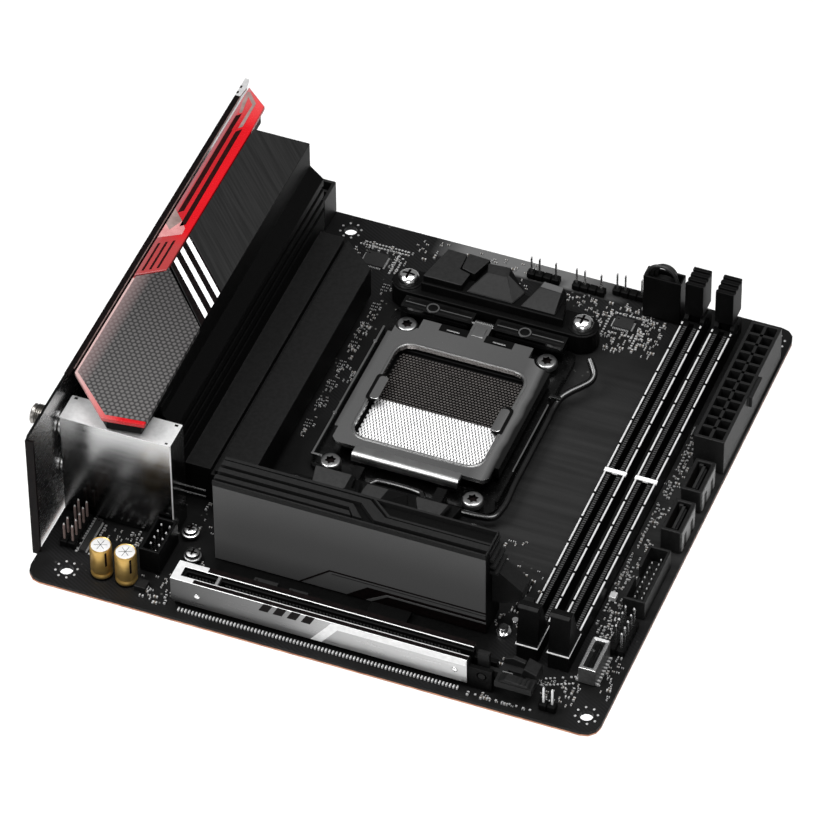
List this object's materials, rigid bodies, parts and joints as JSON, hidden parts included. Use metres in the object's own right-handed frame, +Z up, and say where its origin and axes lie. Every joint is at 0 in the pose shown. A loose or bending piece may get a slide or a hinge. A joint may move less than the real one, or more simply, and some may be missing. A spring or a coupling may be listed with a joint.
{
  "type": "computer motherboard",
  "caption": "Square computer main board with a tall heatsink along the rear ports, a levered processor socket, memory and card slots with latches, and power and pin headers.",
  "frame": {"origin": "middle of the bounding box on its underside, the socket backplate's bottom face", "axes": "+X from the rear ports towards the main power connector, +Y from the card slot's edge towards the far edge, +Z up from the component side"},
  "size_m": [0.1804, 0.17, 0.049],
  "materials": {
    "board": "black solder mask over glass-fibre board",
    "black_plastic": "matte moulded",
    "black_metal": "black anodised, brushed",
    "black_steel": "black coated steel",
    "dark_grey_metal": "dark grey anodised, sand-blasted",
    "grey_panel": "grey panel with a fine honeycomb print",
    "red_clear": "red clear acrylic",
    "steel": "bright",
    "dark_steel": "black nickel plated",
    "tin": "bright tin plate",
    "port_housing": "tin shell over a plastic block",
    "gold_sleeve": "gold sleeve",
    "gold_plate": "gold plated",
    "pad_grey": "soft thermal pad",
    "chip": "moulded package"
  },
  "bodies": {
    "board": {"accent_strip": "red_clear", "antenna_jack_1": "gold_plate", "antenna_jack_2": "gold_plate", "atx_power_connector": "black_plastic", "audio_header": "black_plastic", "audio_jacks": "port_housing", "battery_holder": "black_plastic", "battery_lead": "black_plastic", "capacitor_1": "gold_sleeve", "capacitor_2": "gold_sleeve", "chipset": "chip", "coin_cell": "steel", "cooler_bracket_bottom": "black_plastic", "cooler_bracket_top": "black_plastic", "cooler_screw_1": "steel", "cooler_screw_2": "steel", "cooler_screw_3": "steel", "cooler_screw_4": "steel", "cpu_power_connector": "black_plastic", "dimm_slot_1": "black_plastic", "dimm_slot_2": "black_plastic", "front_panel_header": "black_plastic", "lan_usb_stack": "port_housing", "led_header_1": "black_plastic", "led_header_2": "black_plastic", "led_header_3": "black_plastic", "m2_heatsink": "dark_grey_metal", "m2_riser": "board", "m2_screw_1": "steel", "m2_screw_2": "steel", "nose_panel": "grey_panel", "pcb": "board", "pcie_armour": "steel", "pcie_slot": "black_plastic", "rear_io_plate": "black_steel", "sata_port_1": "black_plastic", "sata_port_2": "black_plastic", "socket_backplate": "black_steel", "socket_body": "black_plastic", "socket_frame": "dark_steel", "socket_screw_1": "steel", "socket_screw_2": "steel", "socket_screw_3": "steel", "socket_screw_4": "steel", "system_header": "black_plastic", "usb2_header": "black_plastic", "usb_c_header": "steel", "usb_header": "black_plastic", "usb_stack_1": "port_housing", "usb_stack_2": "port_housing", "video_ports": "port_housing", "vrm_heatsink": "black_metal", "vrm_thermal_pad": "pad_grey", "wifi_module": "chip", "wifi_shield": "tin"},
    "load_plate": {"load_plate": "dark_steel"},
    "load_lever": {"load_lever": "dark_steel"},
    "dimm_latch_1": {"dimm_latch_1": "black_plastic"},
    "dimm_latch_2": {"dimm_latch_2": "black_plastic"},
    "pcie_latch": {"pcie_latch": "black_plastic"}
  },
  "joints": [
    {"name": "load_plate_hinge", "type": "hinge", "parent": "board", "child": "load_plate", "pos_m": [0.0061, 0.0492, 0.0099], "axis": [-1, 0, 0], "range_deg": [0, 110]},
    {"name": "load_lever_hinge", "type": "hinge", "parent": "board", "child": "load_lever", "pos_m": [0.0061, -0.0213, 0.0081], "axis": [1, 0, 0], "range_deg": [0, 110]},
    {"name": "dimm_latch_1_hinge", "type": "hinge", "parent": "board", "child": "dimm_latch_1", "pos_m": [0.06235, 0.075, 0.0091], "axis": [-1, 0, 0], "range_deg": [0, 35]},
    {"name": "dimm_latch_2_hinge", "type": "hinge", "parent": "board", "child": "dimm_latch_2", "pos_m": [0.07155, 0.075, 0.0091], "axis": [-1, 0, 0], "range_deg": [0, 35]},
    {"name": "pcie_latch_hinge", "type": "hinge", "parent": "board", "child": "pcie_latch", "pos_m": [0.0546, -0.0774, 0.0101], "axis": [0, 1, 0], "range_deg": [0, 15]}
  ]
}
